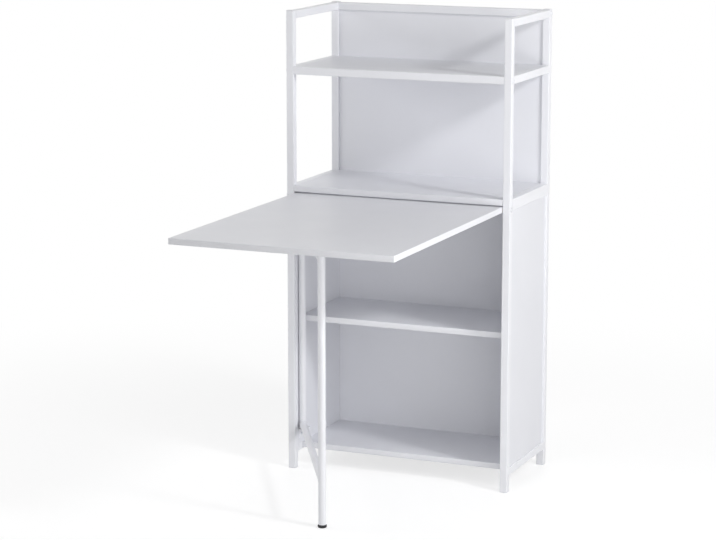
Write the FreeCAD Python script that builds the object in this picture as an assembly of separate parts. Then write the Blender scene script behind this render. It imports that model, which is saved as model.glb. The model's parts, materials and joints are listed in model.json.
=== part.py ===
"""Folding desk: a tube frame with hutch and cabinet, a drop-front desktop and a swinging gate leg.

Millimetres. +X is to the user's right, +Y goes to the back, +Z is up. The origin is the middle of the
footprint, on the floor, in the photographed pose: the desktop level and the gate leg swung out.
Names that end in _v are distances back from the front plane of the front posts.
"""
import FreeCAD, Part
import math
import os

from FreeCAD import Vector

# Overall sizes
total_height = 1220.0
frame_width = 618.0
frame_depth = 310.0
desk_height = 745.0
closed_floor_gap = 15.0
gate_open_angle = 60.7

# Shelf levels: the upper shelf hangs from the top, the others stand on the floor
upper_shelf_drop = 145.0
middle_shelf_height = 411.0
bottom_rail_height = 63.0

# Square tube of the frame
tube = 20.0
tube_wall = 1.2
tube_corner = 2.0
desk_rail_depth = 30.0

# Boards and their edge bands
board = 15.0
back_panel = 9.0
back_panel_inset = 6.0
board_side_gap = 0.5
edge_band = 1.0
edge_band_round = 0.4

# Post caps and feet
cap_flange = 1.5
foot_flange = 3.0
cap_plug_length = 6.0
foot_plug_length = 14.0
plug_wall = 2.0
plug_gap = 0.1
flange_round = 0.6

# Desktop and its pivots
desktop_seam = 4.0
desktop_side_gap = 2.5
desktop_swing_gap = 0.9
pivot_setback = 9.5
pivot_bolt = 6.0
pivot_bush_wall = 1.5
pivot_bush_flange = 2.2
pivot_bush_flange_rim = 2.5
pivot_head_rim = 3.0
pivot_head_height = 3.0
pivot_head_gap = 0.3
pivot_socket = 4.0
pivot_socket_depth = 1.8
pivot_insert_wall = 2.0
pivot_insert_length = 20.0
pivot_thread_length = 18.0
running_gap = 0.05

# Gate leg
gate_tube = 19.0
gate_tube_wall = 1.2
gate_side_gap = 0.8
gate_desktop_gap = 1.0
gate_shelf_gap = 8.0
gate_end_gap = 1.5
gate_weld_gap = 0.05
gate_rail_lowest = 109.5
gate_top_rail_drop = 52.0
gate_stile_foot = 107.3
gate_stile_drop = 27.0
leg_top_gap = 0.2
leg_cap_flange = 2.5
leg_plug_length = 18.0
leg_plug_flange = 1.5
glide_diameter = 23.0
glide_height = 8.0
glide_round = 2.0
glide_stem = 8.0
glide_stem_length = 15.0

# Gate pivots
gate_pin = 8.0
gate_pin_head_rim = 2.0
gate_pin_head_height = 2.0
gate_pin_reach = 18.0
gate_bush_length = 20.0
gate_bush_flange = 2.0
gate_bush_end_gap = 0.3
bracket_plate = 3.0
bracket_height = 28.0
bracket_length = 32.0
bracket_start_gap = 5.0
bracket_lug_rim = 0.3

# Fixings
tab_plate = 2.0
tab_length = 26.0
tab_reach = 24.0
tab_screw = 4.0
tab_screw_head_rim = 2.0
tab_screw_head_height = 2.4
tab_screw_bite = 11.0
screw_gap = 0.05
shelf_pin = 5.0
shelf_pin_reach = 8.0
shelf_pin_collar_rim = 1.0
shelf_pin_inset = 30.0
dowel = 8.0
dowel_bite = 14.0
panel_screw = 4.0
panel_screw_bite = 26.0
back_lug_width = 18.0
back_lug_height = 30.0
back_lug_inset = 60.0
back_screw_bite = 7.0
back_screw_head_height = 1.8
cross_bolt = 6.0
cross_bolt_head_rim = 3.0
cross_bolt_head_height = 3.0
cross_bolt_bite = 16.0
cross_nut_plug_length = 20.0
cut_overrun = 1.0

# Where fixings sit along the rail, panel or plate that carries them
tab_place_shares = (0.24, 0.78)
panel_fixing_shares = (0.18, 0.82)
bracket_screw_shares = (0.25, 0.75)
tab_hole_share = 0.5
parallel_share = 1e-6
rim_share = 0.25
hexagon_sides = 6

LEFT, RIGHT = -1, 1
SIDES = {"left": LEFT, "right": RIGHT}
X_AXIS, Y_AXIS, Z_AXIS = Vector(1, 0, 0), Vector(0, 1, 0), Vector(0, 0, 1)

# Desktop and pivot line
pivot_z = desk_height - board / 2
desktop_reach = pivot_z - closed_floor_gap - pivot_setback
desktop_tail = math.sqrt((board / 2 + desktop_seam - desktop_swing_gap) ** 2 - (board / 2) ** 2)
desktop_back_v = pivot_setback + desktop_tail

# Plan of the frame: the front plane lies so that the whole footprint is centred on the origin
front_y = (desktop_reach - frame_depth) / 2
outer_x = frame_width / 2
inner_x = outer_x - tube
rear_post_v = frame_depth - tube
back_panel_v = rear_post_v + back_panel_inset
post_top = total_height - cap_flange
board_x = inner_x - board_side_gap

# Levels of the rails, given at their top faces
upper_shelf_top = total_height - upper_shelf_drop
desk_rail_top = desk_height + desktop_seam + board
bottom_rail_top = bottom_rail_height

# Gate leg, measured from the stile's axis
gate_radius = gate_tube / 2
stile_x = -inner_x + gate_side_gap + gate_radius
stile_v = pivot_setback + board / 2 + gate_desktop_gap + gate_radius
gate_reach = inner_x - gate_end_gap - glide_diameter / 2 - stile_x
shelf_front_v = stile_v + gate_radius + gate_shelf_gap
leg_top = desk_height - board - leg_top_gap
gate_bore = gate_tube - 2 * gate_tube_wall
stile_top = desk_height - board - gate_stile_drop


def place_y(back_from_front):
    """World Y of a distance back from the front plane of the posts."""
    return front_y + back_from_front


def box(x0, x1, v0, v1, z0, z1):
    """A block between two corners, its Y given back from the front plane."""
    low_x, low_v, low_z = min(x0, x1), min(v0, v1), min(z0, z1)
    corner = Vector(low_x, place_y(low_v), low_z)
    return Part.makeBox(abs(x1 - x0), abs(v1 - v0), abs(z1 - z0), corner)


def rod(diameter, length, x, v, z, direction):
    """A solid round bar from a point along a direction."""
    return Part.makeCylinder(diameter / 2, length, Vector(x, place_y(v), z), direction)


def edges_along(shape, direction):
    """The straight edges of a shape that run along a direction."""
    found = []
    for edge in shape.Edges:
        span = edge.Vertexes[-1].Point - edge.Vertexes[0].Point
        if span.Length > 0 and span.cross(direction).Length < span.Length * parallel_share:
            found.append(edge)
    return found


def rounded_bar(x0, x1, v0, v1, z0, z1, direction, radius):
    """A block whose long edges along one direction are rounded."""
    block = box(x0, x1, v0, v1, z0, z1)
    return block.makeFillet(radius, edges_along(block, direction))


def square_tube(x0, x1, v0, v1, z0, z1, direction):
    """A rectangular hollow section that runs along one axis."""
    outside = rounded_bar(x0, x1, v0, v1, z0, z1, direction, tube_corner)
    trim = Vector(tube_wall, tube_wall, tube_wall) - direction * tube_wall
    over = direction * cut_overrun
    low = Vector(x0, v0, z0) + trim - over
    high = Vector(x1, v1, z1) - trim + over
    inside = rounded_bar(low.x, high.x, low.y, high.y, low.z, high.z, direction, tube_corner - tube_wall)
    return outside.cut(inside)


def round_tube(x, v, z, length, direction):
    """A length of the gate's round tube."""
    bore_from = Vector(x, v, z) - direction * cut_overrun
    outside = rod(gate_tube, length, x, v, z, direction)
    bore_length = length + 2 * cut_overrun
    inside = rod(gate_bore, bore_length, bore_from.x, bore_from.y, bore_from.z, direction)
    return outside.cut(inside)


def washer_head(diameter, height, x, v, z, direction, rounding):
    """A low round head whose outer rim is rounded; direction points out of the work."""
    head = rod(diameter, height, x, v, z, direction)
    top = Vector(x, place_y(v), z) + direction * height
    rim = [edge for edge in head.Edges if edge.Curve.TypeId == "Part::GeomCircle"
           and edge.Curve.Center.distanceToPoint(top) < height / 2]
    return head.makeFillet(rounding, rim)


def hexagon_socket(across_flats, depth, x, v, z, direction):
    """The hexagonal key recess of a bolt whose axis runs along X."""
    circumradius = across_flats / 2 / math.cos(math.pi / hexagon_sides)
    corners = []
    for index in range(hexagon_sides + 1):
        turn = 2 * math.pi * index / hexagon_sides
        across = circumradius * math.cos(turn)
        up = circumradius * math.sin(turn)
        corners.append(Vector(x, place_y(v) + across, z + up))
    return Part.Face(Part.makePolygon(corners)).extrude(direction * depth)


def group(shapes):
    """Identical separate solids kept in one node."""
    return Part.makeCompound(shapes)


def cut_all(shape, tools):
    """A shape with every tool taken out of it."""
    for tool in tools:
        shape = shape.cut(tool)
    return shape


def post(side, v0):
    """One upright of a side frame, from its foot plug to its cap."""
    x_out, x_in = side * outer_x, side * inner_x
    return square_tube(min(x_out, x_in), max(x_out, x_in), v0, v0 + tube, foot_flange, post_top, Z_AXIS)


def cross_hole(diameter, v, z):
    """A hole right across the frame along X, long enough to pass both side frames."""
    reach = outer_x + cut_overrun
    return rod(diameter, 2 * reach, -reach, v, z, X_AXIS)


def front_post(side):
    """A front post with the bush hole of the desktop pivot and the cross rail's bolt hole."""
    bush_hole = cross_hole(pivot_bolt + 2 * (running_gap + pivot_bush_wall), pivot_setback, pivot_z)
    bolt_hole = cross_hole(cross_bolt + 2 * screw_gap, tube / 2, upper_shelf_top - tube / 2)
    return cut_all(post(side, 0), (bush_hole, bolt_hole))


def rear_post(side):
    """A rear post with the bolt hole of the rear top rail."""
    bolt_hole = cross_hole(cross_bolt + 2 * screw_gap, rear_post_v + tube / 2, post_top - tube / 2)
    return post(side, rear_post_v).cut(bolt_hole)


def side_rail(side, top, depth):
    """A rail of a side frame, butted between its front and rear posts."""
    x_out, x_in = side * outer_x, side * inner_x
    return square_tube(min(x_out, x_in), max(x_out, x_in), tube, rear_post_v, top - depth, top, Y_AXIS)


def cross_rail(v0, top):
    """A rail between the two side frames, hollow so that its nut plugs fit in the ends."""
    return square_tube(-inner_x, inner_x, v0, v0 + tube, top - tube, top, X_AXIS)


def square_plug(side, v0, flange_z, stem_up, flange, plug_length):
    """A hollow square tube plug with a flange of the tube's own outline."""
    x_out, x_in = side * outer_x, side * inner_x
    flange_top = flange_z + flange
    plate = rounded_bar(x_out, x_in, v0, v0 + tube, flange_z, flange_top, Z_AXIS, tube_corner)
    face_z = flange_z if stem_up else flange_top
    rim = [edge for edge in plate.Edges if abs(edge.CenterOfMass.z - face_z) < flange * rim_share]
    plate = plate.makeFillet(flange_round, rim)
    inset = tube_wall + plug_gap
    stem_z0 = flange_top if stem_up else flange_z - plug_length
    stem_z1 = stem_z0 + plug_length
    stem = rounded_bar(x_out - side * inset, x_in + side * inset, v0 + inset, v0 + tube - inset,
                       stem_z0, stem_z1, Z_AXIS, tube_corner - tube_wall)
    hollow = inset + plug_wall
    core_z0 = flange_top if stem_up else flange_z - plug_length - cut_overrun
    core_z1 = core_z0 + plug_length + cut_overrun
    core = box(x_out - side * hollow, x_in + side * hollow, v0 + hollow, v0 + tube - hollow,
               core_z0, core_z1)
    return plate.fuse(stem.cut(core))


def post_caps():
    """Four caps in the tops of the posts."""
    return group([square_plug(side, v0, post_top, False, cap_flange, cap_plug_length)
                  for side in SIDES.values() for v0 in (0, rear_post_v)])


def post_feet():
    """Four plastic feet under the posts."""
    return group([square_plug(side, v0, 0, True, foot_flange, foot_plug_length)
                  for side in SIDES.values() for v0 in (0, rear_post_v)])


def cross_bolt_places():
    """Where a bolt passes a post into a cross rail's end: side, distance back and height."""
    front = (tube / 2, upper_shelf_top - tube / 2)
    rear = (rear_post_v + tube / 2, post_top - tube / 2)
    return [(side, v, z) for side in SIDES.values() for v, z in (front, rear)]


def cross_rail_bolts():
    """Low-headed bolts through the posts into the cross rails' nut plugs."""
    bolts = []
    for side, v, z in cross_bolt_places():
        inward = X_AXIS * -side
        head_size = cross_bolt + 2 * cross_bolt_head_rim
        head = washer_head(head_size, cross_bolt_head_height, side * outer_x, v, z, X_AXIS * side,
                           flange_round)
        key_x = side * (outer_x + cross_bolt_head_height)
        key = hexagon_socket(pivot_socket, pivot_socket_depth, key_x, v, z, inward)
        shank = rod(cross_bolt, tube + cross_bolt_bite, side * outer_x, v, z, inward)
        bolts.append(head.cut(key).fuse(shank))
    return group(bolts)


def cross_rail_nut_plugs():
    """Threaded plugs in the ends of the two cross rails."""
    plugs = []
    inset = tube_wall + plug_gap
    for side, v, z in cross_bolt_places():
        half = tube / 2 - inset
        plug = rounded_bar(side * inner_x, side * (inner_x - cross_nut_plug_length), v - half, v + half,
                           z - half, z + half, X_AXIS, tube_corner - tube_wall)
        bore = rod(cross_bolt + 2 * screw_gap, cross_nut_plug_length + 2 * cut_overrun,
                   side * (inner_x + cut_overrun), v, z, X_AXIS * -side)
        plugs.append(plug.cut(bore))
    return group(plugs)


def tab_centre(v0, v1, share):
    """Centre of a fixing that sits at a share of the way between two distances back."""
    return v0 + (v1 - v0) * share


def tab_screw_places(v0, v1):
    """Side, X and distance back of each tab screw under one board."""
    hole_x = inner_x - tab_reach * tab_hole_share
    return [(side, side * hole_x, tab_centre(v0, v1, share))
            for side in SIDES.values() for share in tab_place_shares]


def board_tabs(underside, v0, v1):
    """Flat tabs welded to the rails' inner faces; the board lies on them."""
    tabs = []
    for side, hole_x, v in tab_screw_places(v0, v1):
        half = tab_length / 2
        plate = box(side * inner_x, side * (inner_x - tab_reach), v - half, v + half,
                    underside - tab_plate, underside)
        hole = rod(tab_screw + 2 * screw_gap, tab_plate + 2 * cut_overrun, hole_x, v,
                   underside - tab_plate - cut_overrun, Z_AXIS)
        tabs.append(plate.cut(hole))
    return group(tabs)


def tab_screw_holes(underside, v0, v1):
    """Pilot holes in a board above its tabs."""
    size = tab_screw + 2 * screw_gap
    return [rod(size, tab_screw_bite + cut_overrun, hole_x, v, underside - cut_overrun, Z_AXIS)
            for _, hole_x, v in tab_screw_places(v0, v1)]


def tab_screws():
    """Pan-head screws up through the tabs of three boards."""
    screws = []
    for underside, v0, v1 in tabbed_boards():
        for _, hole_x, v in tab_screw_places(v0, v1):
            seat = underside - tab_plate
            head_size = tab_screw + 2 * tab_screw_head_rim
            head = washer_head(head_size, tab_screw_head_height, hole_x, v, seat, Z_AXIS * -1,
                               flange_round)
            shank = rod(tab_screw, tab_plate + tab_screw_bite, hole_x, v, seat, Z_AXIS)
            screws.append(head.fuse(shank))
    return group(screws)


def tabbed_boards():
    """Underside and run of each board that lies on welded tabs."""
    return [(upper_shelf_top - board, tube, rear_post_v),
            (desk_rail_top - board, shelf_front_v, rear_post_v),
            (bottom_rail_top - board, shelf_front_v, rear_post_v)]


def upper_shelf():
    """The top shelf, behind its front rail."""
    underside = upper_shelf_top - board
    shelf = box(-board_x, board_x, tube, back_panel_v, underside, upper_shelf_top)
    return cut_all(shelf, tab_screw_holes(underside, tube, rear_post_v))


def banded_board(front_v, top):
    """A board whose front edge leaves room for its edge band."""
    underside = top - board
    return box(-board_x, board_x, front_v + edge_band, back_panel_v, underside, top)


def cabinet_top_board():
    """The fixed board at desk level; the desktop's rear edge turns under its front edge."""
    underside = desk_rail_top - board
    return cut_all(banded_board(0, desk_rail_top), tab_screw_holes(underside, shelf_front_v, rear_post_v))


def middle_shelf():
    """The shelf on pins between the two bays."""
    return banded_board(shelf_front_v, middle_shelf_height)


def bottom_board():
    """The cabinet's floor."""
    underside = bottom_rail_top - board
    return cut_all(banded_board(shelf_front_v, bottom_rail_top),
                   tab_screw_holes(underside, shelf_front_v, rear_post_v))


def front_band(half_width, front_v, top):
    """A band on a board's front edge with its two long outer edges eased."""
    band = box(-half_width, half_width, front_v, front_v + edge_band, top - board, top)
    front = place_y(front_v)
    long_edges = [edge for edge in edges_along(band, X_AXIS) if edge.CenterOfMass.y < front + edge_band / 2]
    return band.makeFillet(edge_band_round, long_edges)


def shelf_edge_bands():
    """Bands on the front edges of the three boards behind the front plane."""
    return group([front_band(board_x, 0, desk_rail_top),
                  front_band(board_x, shelf_front_v, middle_shelf_height),
                  front_band(board_x, shelf_front_v, bottom_rail_top)])


def panel_fixing_places(side):
    """X and distance back of the dowels and screws that hold one side panel."""
    x = side * (inner_x + board / 2)
    return [(x, tab_centre(tube, rear_post_v, share)) for share in panel_fixing_shares]


def side_panel(side):
    """The cabinet's side, between its posts and rails, flush with their inner faces."""
    top = desk_rail_top - desk_rail_depth
    panel = box(side * inner_x, side * (inner_x + board), tube, rear_post_v, bottom_rail_top, top)
    holes = []
    for x, v in panel_fixing_places(side):
        holes.append(rod(dowel + 2 * screw_gap, dowel_bite + cut_overrun, x, v, top - dowel_bite, Z_AXIS))
        holes.append(rod(panel_screw + 2 * screw_gap, panel_screw_bite + cut_overrun, x, v,
                         bottom_rail_top - cut_overrun, Z_AXIS))
    holes += [shelf_pin_hole(pin_side, v) for pin_side, v in shelf_pin_places() if pin_side == side]
    if side == LEFT:
        holes += [rod(tab_screw + 2 * screw_gap, tab_screw_bite + cut_overrun, -inner_x + cut_overrun, v, z,
                      X_AXIS * -1) for v, z in bracket_screw_places()]
    return cut_all(panel, holes)


def drilled_side_rail(side, top, depth, diameter):
    """A side rail with the vertical holes of the panel's dowels or screws."""
    holes = [rod(diameter + 2 * screw_gap, depth + 2 * cut_overrun, x, v, top - depth - cut_overrun, Z_AXIS)
             for x, v in panel_fixing_places(side)]
    return cut_all(side_rail(side, top, depth), holes)


def desk_rail(side):
    """The taller rail at desk level, drilled from below for the panel's dowels."""
    holes = [rod(dowel + 2 * screw_gap, tube_wall + 2 * cut_overrun, x, v,
                 desk_rail_top - desk_rail_depth - cut_overrun, Z_AXIS) for x, v in panel_fixing_places(side)]
    return cut_all(side_rail(side, desk_rail_top, desk_rail_depth), holes)


def panel_dowels():
    """Dowels from the side panels' top edges up into the desk rails."""
    underside = desk_rail_top - desk_rail_depth
    return group([rod(dowel, 2 * dowel_bite, x, v, underside - dowel_bite, Z_AXIS)
                  for side in SIDES.values() for x, v in panel_fixing_places(side)])


def panel_screws():
    """Long screws up through the bottom rails into the side panels."""
    screws = []
    seat = bottom_rail_top - tube
    for side in SIDES.values():
        for x, v in panel_fixing_places(side):
            head_size = panel_screw + 2 * tab_screw_head_rim
            head = washer_head(head_size, tab_screw_head_height, x, v, seat, Z_AXIS * -1, flange_round)
            screws.append(head.fuse(rod(panel_screw, tube + panel_screw_bite, x, v, seat, Z_AXIS)))
    return group(screws)


def shelf_pin_places():
    """Side and distance back of the four pins under the middle shelf."""
    return [(side, v) for side in SIDES.values()
            for v in (shelf_front_v + shelf_pin_inset, rear_post_v - shelf_pin_inset)]


def shelf_pin_hole(side, v):
    """The pin's hole in the side panel."""
    z = middle_shelf_height - board - shelf_pin / 2
    return rod(shelf_pin + 2 * screw_gap, shelf_pin_reach + cut_overrun, side * (inner_x - cut_overrun), v, z,
               X_AXIS * side)


def shelf_pins():
    """Steel pins whose flat tops carry the middle shelf."""
    pins = []
    underside = middle_shelf_height - board
    z = underside - shelf_pin / 2
    for side, v in shelf_pin_places():
        collar_size = shelf_pin + 2 * shelf_pin_collar_rim
        collar = rod(collar_size, shelf_pin_reach, side * inner_x, v, z, X_AXIS * -side)
        over = box(side * (inner_x + cut_overrun), side * (inner_x - shelf_pin_reach - cut_overrun),
                   v - collar_size, v + collar_size, underside, underside + collar_size)
        stub = rod(shelf_pin, shelf_pin_reach, side * inner_x, v, z, X_AXIS * side)
        pins.append(collar.cut(over).fuse(stub))
    return group(pins)


def back_panels_split():
    """Height where the upper back panel stands on the lower one."""
    return desk_rail_top - board


def back_lug_levels():
    """Heights of the lugs' centres, two for each back panel."""
    split = back_panels_split()
    lower_foot = bottom_rail_top - board
    upper_head = post_top - tube
    return [lower_foot + back_lug_inset, split - back_lug_inset,
            split + back_lug_inset, upper_head - back_lug_inset]


def back_lug_places():
    """Side, X of the screw and height of each lug."""
    x = inner_x - back_lug_width / 2
    return [(side, side * x, z) for side in SIDES.values() for z in back_lug_levels()]


def back_screw_holes():
    """Pilot holes in the rear faces of the back panels."""
    depth = back_screw_bite + cut_overrun
    return [rod(tab_screw + 2 * screw_gap, depth, x, back_panel_v + back_panel + cut_overrun, z, Y_AXIS * -1)
            for _, x, z in back_lug_places()]


def upper_back_panel():
    """The back of the hutch, under the rear top rail."""
    panel = box(-board_x, board_x, back_panel_v, back_panel_v + back_panel,
                back_panels_split(), post_top - tube)
    return cut_all(panel, back_screw_holes())


def lower_back_panel():
    """The back of the cabinet."""
    panel = box(-board_x, board_x, back_panel_v, back_panel_v + back_panel,
                bottom_rail_top - board, back_panels_split())
    return cut_all(panel, back_screw_holes())


def back_lugs():
    """Lugs welded to the rear posts behind the back panels."""
    lugs = []
    face = back_panel_v + back_panel
    for side, x, z in back_lug_places():
        half = back_lug_height / 2
        plate = box(side * inner_x, side * (inner_x - back_lug_width), face, face + tab_plate,
                    z - half, z + half)
        hole = rod(tab_screw + 2 * screw_gap, tab_plate + 2 * cut_overrun, x, face - cut_overrun, z, Y_AXIS)
        lugs.append(plate.cut(hole))
    return group(lugs)


def back_lug_screws():
    """Screws through the lugs into the back panels."""
    screws = []
    seat = back_panel_v + back_panel + tab_plate
    for _, x, z in back_lug_places():
        head_size = tab_screw + 2 * tab_screw_head_rim
        head = washer_head(head_size, back_screw_head_height, x, seat, z, Y_AXIS, flange_round)
        screws.append(head.fuse(rod(tab_screw, tab_plate + back_screw_bite, x, seat, z, Y_AXIS * -1)))
    return group(screws)


def desktop_half_width():
    """Half the desktop's width with its side bands."""
    return inner_x - desktop_side_gap


def desktop():
    """The drop-front desktop without its bands, bored for the pivot inserts."""
    half = desktop_half_width() - edge_band
    slab = box(-half, half, -desktop_reach + edge_band, desktop_back_v - edge_band,
               desk_height - board, desk_height)
    bores = []
    for side in SIDES.values():
        bore_size = pivot_bolt + 2 * pivot_insert_wall + 2 * screw_gap
        bores.append(rod(bore_size, pivot_insert_length + cut_overrun, side * (half + cut_overrun),
                         pivot_setback, pivot_z, X_AXIS * -side))
    return cut_all(slab, bores)


def desktop_long_bands():
    """Bands on the desktop's front and rear edges, over the side bands' ends."""
    half = desktop_half_width()
    front = front_band(half, -desktop_reach, desk_height)
    rear = box(-half, half, desktop_back_v - edge_band, desktop_back_v, desk_height - board, desk_height)
    return group([front, rear])


def desktop_side_bands():
    """Bands on the desktop's left and right edges, holed for the pivot bolts."""
    bands = []
    half = desktop_half_width()
    for side in SIDES.values():
        band = box(side * half, side * (half - edge_band), -desktop_reach + edge_band,
                   desktop_back_v - edge_band, desk_height - board, desk_height)
        outer_edges = [edge for edge in edges_along(band, Y_AXIS)
                       if abs(edge.CenterOfMass.x) > half - edge_band / 2]
        band = band.makeFillet(edge_band_round, outer_edges)
        bands.append(band.cut(cross_hole(pivot_bolt + 2 * screw_gap, pivot_setback, pivot_z)))
    return group(bands)


def pivot_bushes():
    """Flanged bushes in the front posts; the flange spaces the desktop off the post."""
    bushes = []
    bore = pivot_bolt + 2 * running_gap
    for side in SIDES.values():
        sleeve = rod(bore + 2 * pivot_bush_wall, tube, side * outer_x, pivot_setback, pivot_z, X_AXIS * -side)
        flange_size = bore + 2 * (pivot_bush_wall + pivot_bush_flange_rim)
        flange = rod(flange_size, pivot_bush_flange, side * inner_x, pivot_setback, pivot_z, X_AXIS * -side)
        bushes.append(sleeve.fuse(flange).cut(cross_hole(bore, pivot_setback, pivot_z)))
    return group(bushes)


def pivot_inserts():
    """Threaded inserts in the desktop's ends."""
    inserts = []
    end = desktop_half_width() - edge_band
    for side in SIDES.values():
        inward = X_AXIS * -side
        body_size = pivot_bolt + 2 * pivot_insert_wall
        body = rod(body_size, pivot_insert_length, side * end, pivot_setback, pivot_z, inward)
        bore = rod(pivot_bolt + 2 * screw_gap, pivot_insert_length + 2 * cut_overrun,
                   side * (end + cut_overrun), pivot_setback, pivot_z, inward)
        inserts.append(body.cut(bore))
    return group(inserts)


def pivot_bolts():
    """Bolts that turn in the post bushes and are screwed into the desktop's inserts."""
    bolts = []
    seat = outer_x + pivot_head_gap
    tip = desktop_half_width() - edge_band - pivot_thread_length
    for side in SIDES.values():
        head_size = pivot_bolt + 2 * pivot_head_rim
        head = washer_head(head_size, pivot_head_height, side * seat, pivot_setback, pivot_z, X_AXIS * side,
                           flange_round)
        inward = X_AXIS * -side
        key_x = side * (seat + pivot_head_height)
        key = hexagon_socket(pivot_socket, pivot_socket_depth, key_x, pivot_setback, pivot_z, inward)
        shank = rod(pivot_bolt, seat - tip, side * seat, pivot_setback, pivot_z, inward)
        bolts.append(head.cut(key).fuse(shank))
    return group(bolts)


def gate_direction():
    """Unit vector from the stile to the leg, swung out from the closed line along +X."""
    turn = math.radians(gate_open_angle)
    return Vector(math.cos(turn), -math.sin(turn), 0)


def leg_place():
    """X and distance back of the leg's axis."""
    step = gate_direction() * gate_reach
    return stile_x + step.x, stile_v + step.y


def gate_stile():
    """The gate's pivot upright."""
    return round_tube(stile_x, stile_v, gate_stile_foot, stile_top - gate_stile_foot, Z_AXIS)


def leg_tube_foot():
    """Height where the leg tube stands on its foot plug."""
    return glide_height + leg_plug_flange


def gate_leg():
    """The gate's outer upright, from the glide to just under the desktop."""
    x, v = leg_place()
    return round_tube(x, v, leg_tube_foot(), leg_top - leg_cap_flange - leg_tube_foot(), Z_AXIS)


def gate_rail(level):
    """A rail between stile and leg, coped to both with a hair's gap for the weld."""
    x, v = leg_place()
    rail = round_tube(stile_x, stile_v, level, gate_reach, gate_direction())
    cope = gate_tube + 2 * gate_weld_gap
    low = level - gate_tube
    return cut_all(rail, [rod(cope, 2 * gate_tube, upright_x, upright_v, low, Z_AXIS)
                          for upright_x, upright_v in ((stile_x, stile_v), (x, v))])


def gate_bottom_rail_level():
    """Axis height of the lower gate rail."""
    return gate_rail_lowest + gate_radius


def gate_top_rail_level():
    """Axis height of the upper gate rail."""
    return desk_height - board - gate_top_rail_drop - gate_radius


def gate_leg_cap():
    """The plug that closes the leg and carries the desktop."""
    x, v = leg_place()
    foot = leg_top - leg_cap_flange
    flange = washer_head(gate_tube, leg_cap_flange, x, v, foot, Z_AXIS, flange_round)
    stem = rod(gate_bore - 2 * plug_gap, leg_plug_length, x, v, foot - leg_plug_length, Z_AXIS)
    return flange.fuse(stem)


def gate_leg_insert():
    """The threaded plug in the foot of the leg."""
    x, v = leg_place()
    flange = rod(gate_tube, leg_plug_flange, x, v, glide_height, Z_AXIS)
    stem = rod(gate_bore - 2 * plug_gap, leg_plug_length, x, v, leg_tube_foot(), Z_AXIS)
    bore_length = leg_plug_flange + leg_plug_length + 2 * cut_overrun
    bore = rod(glide_stem + 2 * screw_gap, bore_length, x, v, glide_height - cut_overrun, Z_AXIS)
    return flange.fuse(stem).cut(bore)


def gate_leg_glide():
    """The black glide that stands on the floor, with its threaded stem."""
    x, v = leg_place()
    pad = washer_head(glide_diameter, glide_height, x, v, 0, Z_AXIS, glide_round)
    return pad.fuse(rod(glide_stem, glide_stem_length, x, v, glide_height, Z_AXIS))


def gate_bushes():
    """Flanged bushes in both ends of the stile."""
    bushes = []
    for end, direction in ((gate_stile_foot, Z_AXIS), (stile_top, Z_AXIS * -1)):
        sleeve = rod(gate_bore, gate_bush_length, stile_x, stile_v, end, direction)
        flange = rod(gate_tube, gate_bush_flange, stile_x, stile_v, end, direction * -1)
        start = Vector(stile_x, stile_v, end) - direction * (gate_bush_flange + cut_overrun)
        bore_length = gate_bush_length + gate_bush_flange + 2 * cut_overrun
        bore = rod(gate_pin + 2 * running_gap, bore_length, start.x, start.y, start.z, direction)
        bushes.append(sleeve.fuse(flange).cut(bore))
    return group(bushes)


def lower_lug_top():
    """Height of the lower bracket's bearing face."""
    return gate_stile_foot - gate_bush_flange - gate_bush_end_gap


def upper_lug_underside():
    """Height of the upper bracket's bearing face."""
    return stile_top + gate_bush_flange + gate_bush_end_gap


def bracket_span():
    """Distances back where a bracket's wall plate starts and ends."""
    start = tube + bracket_start_gap
    return start, start + bracket_length


def pivot_bracket(face, outward):
    """An angle on the side panel: a wall plate and a lug around the stile's axis.

    face is the height of the lug's bearing face and outward is +1 where the plate rises above it.
    """
    start, end = bracket_span()
    plate = box(-inner_x, -inner_x + bracket_plate, start, end, face, face + outward * bracket_height)
    lug_radius = gate_radius + bracket_lug_rim
    lug_z = min(face, face + outward * bracket_plate)
    eye = rod(2 * lug_radius, bracket_plate, stile_x, stile_v, lug_z, Z_AXIS)
    tongue = box(-inner_x, stile_x + lug_radius, stile_v, end, face, face + outward * bracket_plate)
    pin_hole = rod(gate_pin, bracket_plate + 2 * cut_overrun, stile_x, stile_v, lug_z - cut_overrun, Z_AXIS)
    size = tab_screw + 2 * screw_gap
    holes = [rod(size, bracket_plate + 2 * cut_overrun, -inner_x - cut_overrun, v, z, X_AXIS)
             for v, z in bracket_screw_places()]
    return cut_all(plate.fuse(eye).fuse(tongue), [pin_hole] + holes)


def lower_pivot_bracket():
    """The bracket that carries the gate's weight."""
    return pivot_bracket(lower_lug_top(), -1)


def upper_pivot_bracket():
    """The bracket that steadies the stile's top."""
    return pivot_bracket(upper_lug_underside(), 1)


def bracket_screw_places():
    """Distance back and height of the brackets' screws."""
    start, end = bracket_span()
    places = []
    for face, outward in ((lower_lug_top(), -1), (upper_lug_underside(), 1)):
        z = face + outward * (bracket_plate + bracket_height) / 2
        places += [(tab_centre(start, end, share), z) for share in bracket_screw_shares]
    return places


def bracket_screws():
    """Screws that hold the gate brackets to the left side panel."""
    screws = []
    seat = -inner_x + bracket_plate
    for v, z in bracket_screw_places():
        head_size = tab_screw + 2 * tab_screw_head_rim
        head = washer_head(head_size, tab_screw_head_height, seat, v, z, X_AXIS, flange_round)
        screws.append(head.fuse(rod(tab_screw, bracket_plate + tab_screw_bite, seat, v, z, X_AXIS * -1)))
    return group(screws)


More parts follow.
